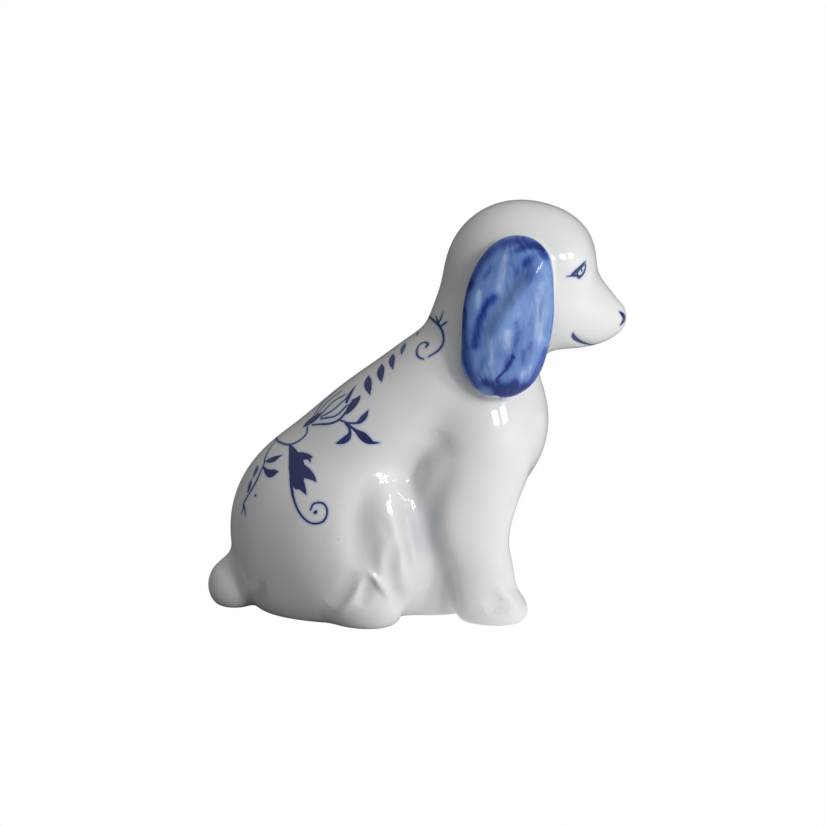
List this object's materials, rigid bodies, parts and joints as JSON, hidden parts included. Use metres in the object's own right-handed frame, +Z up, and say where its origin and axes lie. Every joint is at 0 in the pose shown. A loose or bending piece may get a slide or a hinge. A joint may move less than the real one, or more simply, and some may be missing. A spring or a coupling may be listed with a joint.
{
  "type": "seated dog figurine",
  "caption": "Seated long-eared dog figurine in white glazed porcelain, hollow with a vent hole in the base, hand-painted in cobalt blue on its ears and back.",
  "frame": {"origin": "middle of the figurine's bounding box, on the flat underside that it stands on", "axes": "+X towards the nose, +Y towards the dog's left side, +Z up"},
  "size_m": [0.0976, 0.047, 0.0963],
  "materials": {
    "torso_glaze": "clear gloss glaze over white porcelain, with a cobalt-blue plant pattern on the back",
    "head_glaze": "clear gloss glaze over white porcelain, with cobalt-blue eyes, nose and mouth",
    "tail_glaze": "clear gloss glaze over white porcelain",
    "leg_glaze": "clear gloss glaze over white porcelain",
    "ear_glaze": "clear gloss glaze over a streaky cobalt-blue wash"
  },
  "bodies": {
    "root": {"torso": "torso_glaze", "head": "head_glaze", "tail": "tail_glaze", "ear_left": "ear_glaze", "ear_right": "ear_glaze", "foreleg_left": "leg_glaze", "foreleg_right": "leg_glaze", "hind_paw_left": "leg_glaze", "hind_paw_right": "leg_glaze"}
  },
  "joints": []
}
